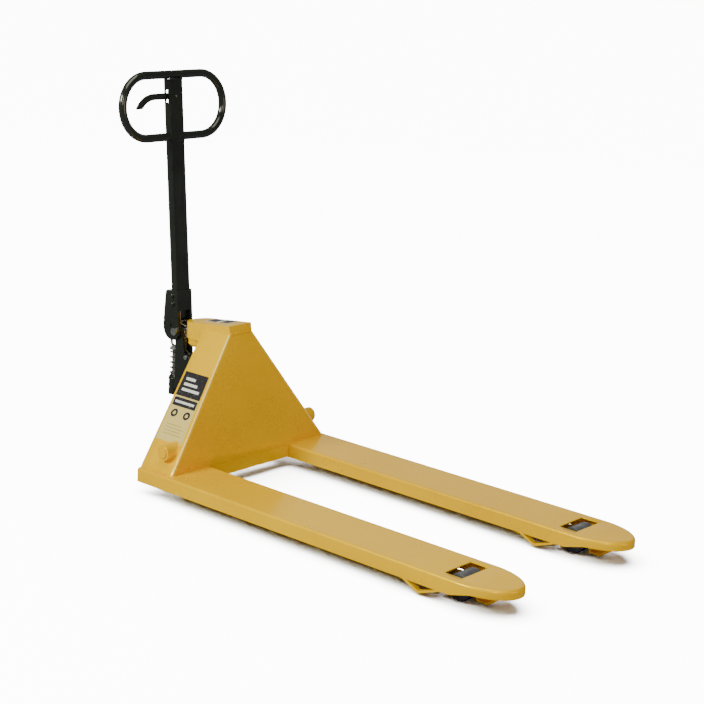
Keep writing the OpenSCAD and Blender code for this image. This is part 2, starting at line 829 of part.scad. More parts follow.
fork_left();
fork_right();
fork_ribs_left();
fork_ribs_right();
front_panel();
side_flange_left();
side_flange_right();
cross_beam();
head_block();
exit_ramps_left();
exit_ramps_right();
nose_skid_left();
nose_skid_right();
yoke_brackets_left();
yoke_brackets_right();
yoke_pivot_left();
yoke_pivot_right();
rocker_shaft();
shaft_boss_left();
shaft_boss_right();
rocker();
rod_pin_left();
rod_pin_right();
push_rod_left();
push_rod_right();
yoke_left();
yoke_right();
yoke_rod_pin_left();
yoke_rod_pin_right();
roller_axle_left();
roller_axle_right();
load_roller_left();
load_roller_right();
thrust_collar();
pump_body();
gland_nut();
ram();
axle();
wheel_hub_left();
wheel_hub_right();
wheel_tyre_left();
wheel_tyre_right();
axle_rings();
handle_socket();
handle_pivot_pin();
cam_roller();
cam_roller_pin();
handle_post();
grip_loop();
socket_bolts();
release_lever();
lever_pin();
release_rod();
release_chain();
valve_lever();
plunger();
plunger_spring();
valve_screw();
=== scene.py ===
"""Looks of the hand pallet jack: rounded sheet metal, weld beads, blank labels,
fasteners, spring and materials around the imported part. Metres, part frame."""
import json
import math

import bmesh
import bpy
from mathutils import Matrix, Vector


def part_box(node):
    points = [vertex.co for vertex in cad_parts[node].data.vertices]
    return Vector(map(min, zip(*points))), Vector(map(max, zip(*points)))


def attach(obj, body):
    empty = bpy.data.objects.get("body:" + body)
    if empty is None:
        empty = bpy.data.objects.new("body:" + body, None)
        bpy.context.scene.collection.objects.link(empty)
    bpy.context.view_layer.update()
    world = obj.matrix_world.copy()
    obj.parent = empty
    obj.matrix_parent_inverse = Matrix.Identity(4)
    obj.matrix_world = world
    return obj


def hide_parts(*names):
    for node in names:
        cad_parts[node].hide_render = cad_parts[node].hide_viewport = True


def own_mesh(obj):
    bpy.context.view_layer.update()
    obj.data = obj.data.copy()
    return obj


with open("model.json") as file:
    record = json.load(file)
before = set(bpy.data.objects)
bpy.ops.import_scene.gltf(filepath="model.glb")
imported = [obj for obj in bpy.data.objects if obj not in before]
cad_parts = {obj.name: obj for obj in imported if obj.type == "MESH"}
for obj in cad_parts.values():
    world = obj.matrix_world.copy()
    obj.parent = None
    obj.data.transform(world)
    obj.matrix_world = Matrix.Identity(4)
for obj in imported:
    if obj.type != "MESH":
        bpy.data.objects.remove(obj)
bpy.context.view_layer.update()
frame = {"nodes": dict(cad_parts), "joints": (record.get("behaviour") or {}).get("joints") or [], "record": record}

MM = 0.001
# Rounding of the pressed sheets
FORK_BEND = 6 * MM
NOSE_BEND = 10 * MM
FRAME_BEND = 9 * MM
# Shape of a fork, as the part has it: its sheet, and its nose behind the tip
FORK_SHEET = 5 * MM
NOSE_LEN = 137 * MM
SKIRT = 25 * MM
SLOPE_BACK = 165 * MM
SLOPE_LEN = 65 * MM
WINDOW_LEN = 58 * MM
WINDOW_W = 112 * MM
WINDOW_BACK = 202.5 * MM
HOLE_CORNER = 3 * MM
# Opening in the fork's top at its heel, under the A-frame, for the rocker's arm
HEEL_HOLE_FROM = 18 * MM
HEEL_HOLE_TO = 122 * MM
HEEL_HOLE_HALF = 41 * MM
HEEL_HOLE_INWARD = 1.5 * MM
# How finely a fork is divided: sections from its heel and along its span
HEEL_STATIONS = (0.0, 50 * MM, 130 * MM)
SPAN_STATIONS = (0.0, 300 * MM, 500 * MM)
NOSE_STEPS = 40
BEND_STEPS = 6
TOP_MARGIN = 5 * MM
# Shape of the A-frame, as the part has it: the depth of its side flanges at
# the foot, at the knee and at the top, and the height where its edges would meet
FRAME_SHEET = 6 * MM
FLANGE_FOOT = 134 * MM
FLANGE_KNEE = 165 * MM
FLANGE_HEAD = 169 * MM
KNEE_Z = 405 * MM
APEX_Z = 510 * MM
PANEL_LEAN = math.tan(math.radians(9.08))
HEAD_LIP_Z = 472 * MM
HEAD_SLOPE = math.tan(math.radians(6.5))
# Labels: where they start on the head, their margins on the flange, and the
# gap that keeps them off the paint
HEAD_LABEL_BACK = 208 * MM
LABEL_BACK_MARGIN = 7 * MM
LABEL_FRONT_MARGIN = 4 * MM
LABEL_GAP = 0.02 * MM
# Weld seams: the spacing of their ripples, how far they end before a plate's
# edge, the radius of each bead, and the circle of the bead round the boss
BEAD_STEP = 1.3 * MM
BEAD_GAP = 4 * MM
FOOT_BEAD = 2.6 * MM
BOSS_BEAD = 2.4 * MM
BOSS_RADIUS = 23.6 * MM
HEAD_BEAD = 2.4 * MM
RAMP_BEAD = 1.6 * MM
GRIP_BEAD = 2.2 * MM
# Radius of the ridge along the A-frame's bend that carries the painted highlight
SEAM_RADIUS = 2.3 * MM
# Bolts of the tiller's foot
WASHER_RADIUS = 8.5 * MM
WASHER_HEIGHT = 1.4 * MM
WASHER_EDGE = 0.3 * MM
BOLT_ACROSS = 12.5 * MM
BOLT_HEIGHT = 4.4 * MM
BOLT_CHAMFER = 0.8 * MM
BOLT_INSET = 6 * MM
# The pump's seams, its two plugs and the collar round its plunger barrel
PUMP_RADIUS = 40 * MM
PUMP_SEAMS = (205 * MM, 318 * MM)
FILLER_Z = 300 * MM
PRESSURE_Z = 262 * MM
BARREL_RADIUS = 18 * MM
BARREL_DROP = 12 * MM
PLUG_SEAT = 39 * MM
PLUG_ACROSS = 11 * MM
PLUG_HEIGHT = 5 * MM
PLUG_WASHER = 2.2 * MM
# Grip welds, above the tiller's pivot along its post
POST_LEAN = math.radians(5.1)
GRIP_TUBE_Z = 599.6 * MM
GRIP_TUBE_HALF = 12.3 * MM
GRIP_TOP_Z = 772.8 * MM
POST_FACE = 12.6 * MM
POST_HALF = 26 * MM
# Camera that sees the jack as the photograph does
CAMERA_AT = (3105.4 * MM, -3652.0 * MM, 1707.9 * MM)
CAMERA_YAW = math.radians(40.54)
CAMERA_PITCH = math.radians(14.35)
CAMERA_ROLL = math.radians(2.93)
CAMERA_LENS = 89.05
# Strength of the sun that falls on the floor alone
FLOOR_LIGHT = 42.0
# Strength of the white backdrop: what it lights, and how it is seen directly
SKY_LIGHT = 0.12
SKY_SEEN = 12.0
# Tints of the soft boxes
LEMON = (0.93, 1.0, 0.76)
WARM = (1.0, 0.90, 0.74)
AMBER = (1.0, 0.76, 0.50)


# ---------------------------------------------------------------- materials

class Nodes:
    """Short hand for building one material's node tree."""

    def __init__(self, name, scale_axes=None):
        self.material = bpy.data.materials.new(name)
        self.material.use_nodes = True
        self.tree = self.material.node_tree
        self.shader = self.tree.nodes["Principled BSDF"]
        coords = self.tree.nodes.new("ShaderNodeTexCoord")
        self.place = coords.outputs["Object"]
        if scale_axes:
            mapping = self.tree.nodes.new("ShaderNodeMapping")
            mapping.inputs["Scale"].default_value = scale_axes
            self.tree.links.new(self.place, mapping.inputs["Vector"])
            self.stretched = mapping.outputs["Vector"]

    def noise(self, scale, detail=3.0, rough=0.55, vector=None):
        node = self.tree.nodes.new("ShaderNodeTexNoise")
        node.inputs["Scale"].default_value = scale
        node.inputs["Detail"].default_value = detail
        node.inputs["Roughness"].default_value = rough
        self.tree.links.new(vector or self.place, node.inputs["Vector"])
        return node.outputs["Fac"]

    def speckle(self, scale):
        node = self.tree.nodes.new("ShaderNodeTexVoronoi")
        node.inputs["Scale"].default_value = scale
        self.tree.links.new(self.place, node.inputs["Vector"])
        return node.outputs["Distance"]

    def band(self, value, low, high, to_low=0.0, to_high=1.0):
        node = self.tree.nodes.new("ShaderNodeMapRange")
        node.clamp = True
        for key, number in (("From Min", low), ("From Max", high),
                            ("To Min", to_low), ("To Max", to_high)):
            node.inputs[key].default_value = number
        self.tree.links.new(value, node.inputs["Value"])
        return node.outputs["Result"]

    def maths(self, kind, a, b):
        node = self.tree.nodes.new("ShaderNodeMath")
        node.operation = kind
        for slot, value in zip(node.inputs, (a, b)):
            if isinstance(value, (int, float)):
                slot.default_value = value
            else:
                self.tree.links.new(value, slot)
        return node.outputs["Value"]

    def mix(self, factor, a, b):
        node = self.tree.nodes.new("ShaderNodeMix")
        node.data_type = "RGBA"
        self.tree.links.new(factor, node.inputs["Factor"])
        for slot, value in ((node.inputs["A"], a), (node.inputs["B"], b)):
            if isinstance(value, tuple):
                slot.default_value = (*value, 1)
            else:
                self.tree.links.new(value, slot)
        return node.outputs["Result"]

    def edge_wear(self, radius, low, high):
        """1 along sharp edges, 0 on flats, broken up by noise."""
        bevel = self.tree.nodes.new("ShaderNodeBevel")
        bevel.samples = 4
        bevel.inputs["Radius"].default_value = radius
        plain = self.tree.nodes.new("ShaderNodeNewGeometry")
        dot = self.tree.nodes.new("ShaderNodeVectorMath")
        dot.operation = "DOT_PRODUCT"
        self.tree.links.new(bevel.outputs["Normal"], dot.inputs[0])
        self.tree.links.new(plain.outputs["Normal"], dot.inputs[1])
        edge = self.maths("SUBTRACT", 1.0, dot.outputs["Value"])
        broken = self.band(self.noise(55, 5), 0.42, 0.62)
        return self.band(self.maths("MULTIPLY", edge, broken), low, high)

    def bump(self, height, strength, distance, rounded=0.0):
        node = self.tree.nodes.new("ShaderNodeBump")
        node.inputs["Strength"].default_value = strength
        node.inputs["Distance"].default_value = distance
        self.tree.links.new(height, node.inputs["Height"])
        if rounded:
            bevel = self.tree.nodes.new("ShaderNodeBevel")
            bevel.samples = 4
            bevel.inputs["Radius"].default_value = rounded
            self.tree.links.new(bevel.outputs["Normal"], node.inputs["Normal"])
        self.tree.links.new(node.outputs["Normal"], self.shader.inputs["Normal"])

    def set(self, **values):
        for key, value in values.items():
            slot = self.shader.inputs[key.replace("_", " ")]
            if isinstance(value, (int, float)):
                slot.default_value = value
            elif isinstance(value, tuple):
                slot.default_value = (*value, 1)
            else:
                self.tree.links.new(value, slot)


def yellow_paint(name="yellow gloss paint",
                 deep=(0.86, 0.47, 0.0), light=(0.94, 0.54, 0.0)):
    """Gloss yellow paint: orange peel, dust, fine scratches, chipped edges."""
    n = Nodes(name, (1.5, 90, 90))
    tone = n.mix(n.band(n.noise(2.2), 0.35, 0.65), deep, light)
    scratch = n.band(n.noise(1.0, 2.0, 0.5, n.stretched), 0.69, 0.74)
    rubbed = n.maths("MULTIPLY", scratch, n.band(n.noise(5, 2), 0.45, 0.65))
    tone = n.mix(n.maths("MULTIPLY", rubbed, 0.35), tone, (0.42, 0.27, 0.05))
    chips = n.edge_wear(1.2 * MM, 0.10, 0.22)
    tone = n.mix(n.maths("MULTIPLY", chips, 0.55), tone, (0.20, 0.13, 0.06))
    gloss = n.band(n.noise(9, 4), 0.3, 0.7, 0.24, 0.34)
    gloss = n.maths("ADD", gloss, n.maths("MULTIPLY", rubbed, 0.25))
    peel = n.maths("ADD", n.noise(420, 2), n.maths("MULTIPLY", n.noise(14, 1), 0.6))
    n.bump(peel, 0.10, 0.5 * MM, 1.2 * MM)
    n.set(Base_Color=tone, Roughness=gloss, Coat_Weight=0.25, Coat_Roughness=0.06,
          Specular_IOR_Level=0.10, Specular_Tint=(1.0, 0.80, 0.35), Metallic=0.20)
    return n.material


def black_paint():
    """Black enamel of the tiller and pump: glossy, a little dusty, worn edges."""
    n = Nodes("black enamel", (60, 60, 2))
    tone = n.mix(n.band(n.noise(7, 4), 0.35, 0.7),
                 (0.006, 0.008, 0.006), (0.013, 0.016, 0.012))
    chips = n.edge_wear(1.0 * MM, 0.09, 0.20)
    tone = n.mix(n.maths("MULTIPLY", chips, 0.6), tone, (0.16, 0.16, 0.15))
    rub = n.band(n.noise(1.0, 2.0, 0.5, n.stretched), 0.60, 0.72, 0.0, 0.10)
    gloss = n.maths("ADD", n.band(n.noise(12, 3), 0.3, 0.7, 0.15, 0.24), rub)
    n.bump(n.maths("ADD", n.noise(300, 3), n.noise(40, 2)), 0.12, 0.4 * MM, 1.0 * MM)
    n.set(Base_Color=tone, Roughness=gloss, Coat_Weight=0.80, Coat_Roughness=0.05,
          Specular_IOR_Level=0.30)
    return n.material


def bright_steel():
    """Zinc-plated turned steel with faint tool marks and grey patches."""
    n = Nodes("bright steel", (20, 600, 20))
    tone = n.mix(n.band(n.noise(60, 4), 0.35, 0.7),
                 (0.50, 0.50, 0.52), (0.66, 0.66, 0.66))
    grime = n.band(n.noise(130, 4), 0.55, 0.75)
    tone = n.mix(n.maths("MULTIPLY", grime, 0.6), tone, (0.16, 0.15, 0.13))
    gloss = n.band(n.noise(90, 3), 0.3, 0.7, 0.22, 0.42)
    n.bump(n.noise(1.0, 2.0, 0.5, n.stretched), 0.10, 0.2 * MM, 0.5 * MM)
    n.set(Base_Color=tone, Roughness=gloss, Metallic=1.0)
    return n.material


def dark_steel():
    """Oiled forged steel: uneven dark scale over bare metal."""
    n = Nodes("oiled forged steel")
    tone = n.mix(n.band(n.noise(45, 5), 0.35, 0.7),
                 (0.035, 0.036, 0.040), (0.11, 0.11, 0.115))
    chips = n.edge_wear(0.8 * MM, 0.08, 0.2)
    tone = n.mix(n.maths("MULTIPLY", chips, 0.7), tone, (0.38, 0.37, 0.36))
    n.bump(n.maths("ADD", n.noise(220, 4), n.speckle(160)), 0.25, 0.4 * MM, 0.8 * MM)
    n.set(Base_Color=tone, Roughness=n.band(n.noise(80, 3), 0.3, 0.7, 0.34, 0.55),
          Metallic=0.75)
    return n.material


def cast_hub():
    """Sand-cast wheel centre in dull grey."""
    n = Nodes("cast wheel hub")
    tone = n.mix(n.band(n.noise(70, 5), 0.35, 0.7),
                 (0.055, 0.058, 0.062), (0.13, 0.13, 0.135))
    n.bump(n.speckle(420), 0.35, 0.4 * MM, 1.0 * MM)
    n.set(Base_Color=tone, Roughness=n.band(n.noise(60, 3), 0.3, 0.7, 0.42, 0.62),
          Metallic=0.6)
    return n.material


def roller_plastic():
    """Dark blue-grey roller: turned rings, scuffs from the floor."""
    n = Nodes("load roller plastic", (8, 700, 8))
    tone = n.mix(n.band(n.noise(30, 5), 0.35, 0.7),
                 (0.030, 0.034, 0.045), (0.075, 0.080, 0.10))
    scuff = n.band(n.noise(1.0, 3.0, 0.6, n.stretched), 0.56, 0.68)
    tone = n.mix(n.maths("MULTIPLY", scuff, 0.5), tone, (0.17, 0.17, 0.18))
    n.bump(n.noise(1.0, 3.0, 0.6, n.stretched), 0.2, 0.3 * MM, 1.0 * MM)
    n.set(Base_Color=tone, Roughness=n.band(n.noise(50, 3), 0.3, 0.7, 0.26, 0.45))
    return n.material


def tyre_rubber():
    """Dark rubber with grey floor dust in its grain."""
    n = Nodes("tyre rubber")
    dust = n.band(n.noise(26, 6), 0.42, 0.75)
    tone = n.mix(dust, (0.014, 0.014, 0.016), (0.075, 0.072, 0.070))
    n.bump(n.maths("ADD", n.speckle(650), n.noise(120, 4)), 0.4, 0.3 * MM, 1.2 * MM)
    n.set(Base_Color=tone, Roughness=n.band(dust, 0, 1, 0.55, 0.80))
    return n.material


def printed(name, colour, worn):
    """Printed film of a label, scuffed where worn is above 0."""
    n = Nodes(name)
    scuff = n.band(n.noise(90, 5), 0.58, 0.72)
    pale = tuple(0.6 * c + 0.25 for c in colour)
    tone = n.mix(n.maths("MULTIPLY", scuff, worn), colour, pale)
    n.bump(n.noise(260, 2), 0.05, 0.2 * MM)
    n.set(Base_Color=tone, Roughness=n.band(n.noise(40, 3), 0.3, 0.7, 0.36, 0.48),
          Specular_IOR_Level=0.15)
    return n.material


MATERIALS = {
    "yellow_paint": yellow_paint(),
    "black_paint": black_paint(),
    "bright_steel": bright_steel(),
    "dark_steel": dark_steel(),
    "wheel_hub": cast_hub(),
    "roller_plastic": roller_plastic(),
    "tyre_rubber": tyre_rubber(),
}
# Lighter, glossier yellow for the ridge along the A-frame's bend: a painted highlight line
BEND_HIGHLIGHT_PAINT = yellow_paint("yellow with a painted highlight along the bend",
                          (1.0, 0.80, 0.24), (1.0, 0.86, 0.32))
LABEL_DARK = printed("label violet grey", (0.022, 0.018, 0.026), 0.25)
LABEL_PALE = printed("label cream", (0.66, 0.50, 0.17), 0.2)
LABEL_WHITE = printed("label white", (0.66, 0.66, 0.68), 0.3)
LABEL_LINE = printed("label line", (0.36, 0.27, 0.10), 0.2)


# ------------------------------------------------------------- mesh helpers

def piece(name, verts, faces, body, slot, material=None, smooth=True):
    """One mesh riding on a body, in a slot of the record."""
    mesh = bpy.data.meshes.new(name)
    mesh.from_pydata([tuple(v) for v in verts], [], faces)
    bm = bmesh.new()
    bm.from_mesh(mesh)
    bmesh.ops.remove_doubles(bm, verts=bm.verts, dist=1e-6)
    bmesh.ops.recalc_face_normals(bm, faces=bm.faces)
    for face in bm.faces:
        face.smooth = smooth
    bm.to_mesh(mesh)
    bm.free()
    obj = bpy.data.objects.new(name, mesh)
    bpy.context.scene.collection.objects.link(obj)
    mesh.materials.append(material or MATERIALS[slot])
    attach(obj, body)
    return obj


def flat_normals(obj):
    """Keeps big flat faces flat where they run into rounded ones."""
    modifier = obj.modifiers.new("flat faces", "WEIGHTED_NORMAL")
    modifier.keep_sharp = True
    modifier.weight = 80


def thicken(obj, sheet):
    """Gives a skin the thickness of its sheet, inwards."""
    thick = obj.modifiers.new("sheet", "SOLIDIFY")
    thick.thickness = sheet
    thick.offset = -1
    thick.use_even_offset = True
    flat_normals(obj)


def soften(node, width):
    """Rounds the edges of a CAD node that stays visible."""
    obj = frame["nodes"][node]
    for polygon in obj.data.polygons:
        polygon.use_smooth = True
    weld = obj.modifiers.new("join", "WELD")
    weld.merge_threshold = 1e-5
    flats = obj.modifiers.new("whole faces", "DECIMATE")
    flats.decimate_type = "DISSOLVE"
    flats.angle_limit = math.radians(0.4)
    bevel = obj.modifiers.new("rounded edges", "BEVEL")
    bevel.width = width
    bevel.segments = 2
    bevel.limit_method = "ANGLE"
    bevel.angle_limit = math.radians(35)
    bevel.harden_normals = False
    flat_normals(obj)


def ring_round(place, side, up, reach, count, rise=None):
    """Points round a place, reach away along side and rise along up."""
    rise = reach if rise is None else rise
    return [place + side * reach * math.cos(a) + up * rise * math.sin(a)
            for a in (2 * math.pi * k / count for k in range(count))]


def tube(rings):
    """Vertices and faces of a closed skin over rings of points."""
    count = len(rings[0])
    verts = [p for ring in rings for p in ring]
    faces = []
    for i in range(len(rings) - 1):
        for j in range(count):
            k = (j + 1) % count
            faces.append((i * count + j, i * count + k,
                          (i + 1) * count + k, (i + 1) * count + j))
    last = (len(rings) - 1) * count
    faces.append(tuple(range(count)))
    faces.append(tuple(last + j for j in reversed(range(count))))
    return verts, faces


def frames_along(points):
    """A steady side and up direction at each point of a path."""
    result = []
    side = None
    for i, p in enumerate(points):
        ahead = (points[min(i + 1, len(points) - 1)] - points[max(i - 1, 0)]).normalized()
        if side is None:
            guess = Vector((0, 0, 1)) if abs(ahead.z) < 0.9 else Vector((0, 1, 0))
            side = ahead.cross(guess).normalized()
        side = (side - ahead * side.dot(ahead)).normalized()
        result.append((p, side, ahead.cross(side)))
    return result


def even_points(path, gap):
    """Points every gap along a chain of straight runs."""
    points = []
    for a, b in zip(path, path[1:]):
        steps = max(1, round((b - a).length / gap))
        points += [a.lerp(b, i / steps) for i in range(steps)]
    return points + [path[-1]]


def wire_along(points, reach, count, rise=None):
    """Vertices and faces of a round bar along a path."""
    return tube([ring_round(p, side, up, reach, count, rise)
                 for p, side, up in frames_along(points)])


def weld_bead(name, path, radius):
    """Rippled weld seam along a path on the frame, half sunk in the plates."""
    rings = []
    points = even_points([Vector(p) for p in path], BEAD_STEP)
    for i, (p, side, up) in enumerate(frames_along(points)):
        swell = radius * (1 + 0.10 * math.sin(2 * math.pi * i / 3.0) + 0.07 * math.sin(i * 0.37))
        drift = 0.3 * MM * math.sin(i * 0.21 + len(name))
        rings.append(ring_round(p + side * drift, side, up, swell, 8))
    piece(name, *tube(rings), "frame", "yellow_paint")


def mirrored(points, left):
    """Points of the left half as they are, or mirrored to the right half."""
    return [Vector((p[0], p[1] if left else -p[1], p[2])) for p in points]


# -------------------------------------------------------------------- forks

def rim_z(x, low, high):
    """Height of the fork's rim at x: it rises to a shallow skirt at the nose."""
    run = min(max((x - high.x + SLOPE_BACK) / SLOPE_LEN, 0), 1)
    return low.z + run * (high.z - SKIRT - low.z)


def hole_ring(bm, x0, x1, centre, half, sign, z):
    """Vertices of a hole with round corners in the fork's top."""
    ring = []
    for x, reach, start in ((x1 - HOLE_CORNER, half - HOLE_CORNER, 0),
                            (x0 + HOLE_CORNER, half - HOLE_CORNER, 90),
                            (x0 + HOLE_CORNER, HOLE_CORNER - half, 180),
                            (x1 - HOLE_CORNER, HOLE_CORNER - half, 270)):
        for k in range(4):
            a = math.radians(start + 30 * k)
            ring.append(bm.verts.new((x + HOLE_CORNER * math.cos(a),
                                      sign * (centre + reach + HOLE_CORNER * math.sin(a)), z)))
    return ring


def fork_shell(left):
    """Pressed fork: flat top, rolled edges, shallow rounded nose, open below."""
    node = "fork_left" if left else "fork_right"
    low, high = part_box(node)
    sign = 1 if left else -1
    middle = abs(low.y + high.y) / 2
    half = (high.y - low.y) / 2
    nose_start = high.x - NOSE_LEN
    slope_x = high.x - SLOPE_BACK

    # The outline from the heel round the nose and back: x and side, or an angle
    straight = [low.x + d for d in HEEL_STATIONS] + list(SPAN_STATIONS)
    straight += [slope_x, (slope_x + nose_start) / 2]
    outline = [(x, -1.0, None) for x in straight]
    outline += [(None, None, math.radians(-90 + 180 * i / NOSE_STEPS))
                for i in range(NOSE_STEPS + 1)]
    outline += [(x, 1.0, None) for x in reversed(straight)]

    def at(entry, inset, z):
        x, across, angle = entry
        if angle is None:
            return Vector((x, sign * (middle + across * (half - inset)), z))
        reach = NOSE_LEN - inset
        return Vector((nose_start + reach * math.cos(angle),
                       sign * (middle + (half - inset) * math.sin(angle)), z))

    def bend_at(entry):
        forward = math.cos(entry[2]) if entry[2] is not None else 0.0
        return FORK_BEND + (NOSE_BEND - FORK_BEND) * forward

    # Rows of points: the rim, the rolled edge and a margin on the flat top
    rows = [[at(entry, 0, rim_z(at(entry, 0, 0).x, low, high)) for entry in outline]]
    for step in range(BEND_STEPS + 1):
        turn = math.radians(90 * step / BEND_STEPS)
        rows.append([at(entry, bend_at(entry) * (1 - math.cos(turn)),
                        high.z - bend_at(entry) + bend_at(entry) * math.sin(turn))
                     for entry in outline])
    rows.append([at(entry, bend_at(entry) + TOP_MARGIN, high.z) for entry in outline])

    bm = bmesh.new()
    grid = [[bm.verts.new(p) for p in row] for row in rows]
    for lower, upper in zip(grid, grid[1:]):
        for i in range(len(lower) - 1):
            bm.faces.new((lower[i], lower[i + 1], upper[i + 1], upper[i]))
    edges = [bm.edges.get((a, b)) or bm.edges.new((a, b))
             for a, b in zip(grid[-1], grid[-1][1:])]
    edges.append(bm.edges.new((grid[-1][0], grid[-1][-1])))
    window_x = high.x - WINDOW_BACK
    for x0, x1, hole_half, centre in (
            (window_x, window_x + WINDOW_LEN, WINDOW_W / 2, middle),
            (low.x + HEEL_HOLE_FROM, low.x + HEEL_HOLE_TO, HEEL_HOLE_HALF,
             middle - HEEL_HOLE_INWARD)):
        ring = hole_ring(bm, x0, x1, centre, hole_half, sign, high.z)
        edges += [bm.edges.new((ring[i], ring[(i + 1) % len(ring)])) for i in range(len(ring))]
    bmesh.ops.triangle_fill(bm, use_beauty=True, edges=edges)
    bmesh.ops.recalc_face_normals(bm, faces=bm.faces)
    if max(bm.faces, key=lambda f: f.calc_area()).normal.z < 0:
        bmesh.ops.reverse_faces(bm, faces=bm.faces)
    for face in bm.faces:
        face.smooth = True
    mesh = bpy.data.meshes.new("fork shell")
    bm.to_mesh(mesh)
    bm.free()
    obj = bpy.data.objects.new("pressed_" + node, mesh)
    bpy.context.scene.collection.objects.link(obj)
    mesh.materials.append(MATERIALS["yellow_paint"])
    thicken(obj, FORK_SHEET)
    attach(obj, "frame")
    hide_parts(node)


# ------------------------------------------------------------------ A-frame

panel_low, panel_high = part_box("front_panel")
PANEL_FOOT_X = panel_high.x
FOOT_Z = panel_low.z
FOOT_HALF = panel_high.y
FLANGE_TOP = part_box("side_flange_right")[1].z
FORK_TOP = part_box("fork_left")[1].z
SIDE_SLOPE = FOOT_HALF / (APEX_Z - FOOT_Z)


def frame_half(z):
    """Half width of the A-frame's outside at height z."""
    return FOOT_HALF * (1 - (z - FOOT_Z) / (APEX_Z - FOOT_Z))


def front_x(z):
    """Front face of the panel at height z."""
    return PANEL_FOOT_X - PANEL_LEAN * (z - FOOT_Z)


def rear_x(z):
    """Back edge of the side flange at height z."""
    if z < KNEE_Z:
        run = (z - FOOT_Z) / (KNEE_Z - FORK_TOP)
        return PANEL_FOOT_X - FLANGE_FOOT - (FLANGE_KNEE - FLANGE_FOOT) * run
    run = (z - KNEE_Z) / (FLANGE_TOP - KNEE_Z)
    return PANEL_FOOT_X - FLANGE_KNEE - (FLANGE_HEAD - FLANGE_KNEE) * run


def a_frame_row(z):
    """One level of the bent sheet: a flange, its bend, the panel and back."""
    front, back, half = front_x(z) - FRAME_BEND, rear_x(z), frame_half(z)
    side = [Vector((back + (front - back) * k / 4, -half, z)) for k in range(5)]
    for k in range(1, 8):
        a = math.radians(90 * k / 8)
        side.append(Vector((front + FRAME_BEND * math.sin(a),
                            FRAME_BEND - half - FRAME_BEND * math.cos(a), z)))
    across = [Vector((front_x(z), (FRAME_BEND - half) * (1 - k / 3), z)) for k in range(7)]
    return side + across + [Vector((p.x, -p.y, p.z)) for p in reversed(side)]


def a_frame_shell():
    """Front panel and both side flanges as one bent sheet."""
    levels = 14
    rows = [a_frame_row(FOOT_Z + (FLANGE_TOP - FOOT_Z) * i / levels) for i in range(levels + 1)]
    verts = [p for row in rows for p in row]
    width = len(rows[0])
    faces = [(i * width + j, i * width + j + 1, (i + 1) * width + j + 1, (i + 1) * width + j)
             for i in range(levels) for j in range(width - 1)]
    obj = piece("bent_a_frame", verts, faces, "frame", "yellow_paint")
    if obj.data.polygons[width // 2].normal.x < 0:
        obj.data.flip_normals()
    thicken(obj, FRAME_SHEET)
    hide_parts("front_panel", "side_flange_left", "side_flange_right")


# ------------------------------------------------------------------- labels

def on_flange(x, z, left, proud=0.0):
    """A point on the slanted side flange, or a little outside it."""
    out = Vector((0, 1, SIDE_SLOPE)).normalized()
    p = Vector((x, frame_half(z), z)) + out * proud
    return p if left else Vector((p.x, -p.y, p.z))


def slab_on(corners, lift, name, material):
    """Thin label on the frame: an outline on its surface and one a little proud."""
    low = [place(LABEL_GAP) for place in corners]
    high = [place(lift) for place in corners]
    count = len(corners)
    faces = [tuple(reversed(range(count))), tuple(range(count, 2 * count))]
    faces += [(i, (i + 1) % count, count + (i + 1) % count, count + i) for i in range(count)]
    piece(name, low + high, faces, "frame", "yellow_paint", material, smooth=False)


def flange_label(name, z0, z1, u0, u1, material, lift):
    """Label patch on the right flange: z0..z1 high, u 0..1 from back to front."""
    def corner(u, z):
        def place(proud):
            start = rear_x(z) + LABEL_BACK_MARGIN
            run = front_x(z) - FRAME_BEND - LABEL_FRONT_MARGIN - start
            return on_flange(start + run * u, z, False, proud)
        return place
    slab_on([corner(u0, z0), corner(u1, z0), corner(u1, z1), corner(u0, z1)],
            lift * MM, name, material)


def flange_disc(name, x, z, radius, material, lift):
    """Round label on the right flange."""
    fall = math.cos(math.atan(SIDE_SLOPE))

    def corner(angle):
        def place(proud):
            return on_flange(x + radius * math.cos(angle),
                             z + radius * math.sin(angle) * fall, False, proud)
        return place
    slab_on([corner(2 * math.pi * k / 32) for k in range(32)], lift * MM, name, material)


def labels():
    """Blank, generic stickers where the real jack carries its printed ones."""
    foot, split, top = 152 * MM, 268 * MM, 331 * MM
    disc_z = 224 * MM
    flange_label("label_ground", foot, split, 0.0, 1.0, LABEL_PALE, 0.15)
    flange_label("label_square", split, top, 0.0, 1.0, LABEL_DARK, 0.17)
    flange_label("label_band", split - 26 * MM, split - 4 * MM, 0.03, 0.97, LABEL_DARK, 0.25)
    flange_label("label_band_bar", split - 18 * MM, split - 12 * MM, 0.10, 0.88,
                 LABEL_WHITE, 0.30)
    for i in range(3):
        z = split + (14 + 14 * i) * MM
        flange_label(f"label_square_bar_{i}", z, z + 7 * MM, 0.14, 0.86 - 0.16 * i,
                     LABEL_WHITE, 0.26)
    middle = (rear_x(disc_z + 1 * MM) + front_x(disc_z + 1 * MM)) / 2
    for i, shift in enumerate((-28 * MM, 24 * MM)):
        flange_disc(f"label_disc_{i}", middle + shift, disc_z, 13 * MM, LABEL_DARK, 0.25)
        flange_disc(f"label_disc_eye_{i}", middle + shift, disc_z, 6 * MM, LABEL_PALE, 0.30)
    for i in range(4):
        z = foot + (18 + 8 * i) * MM
        flange_label(f"label_rule_{i}", z, z + 1.6 * MM, 0.16, 0.86 - 0.1 * (i % 2),
                     LABEL_LINE, 0.22)


def head_top(x, y, proud):
    """A point on the head's sloping top."""
    return Vector((x, y, HEAD_LIP_Z + HEAD_SLOPE * (x - front_x(HEAD_LIP_Z)) + proud))


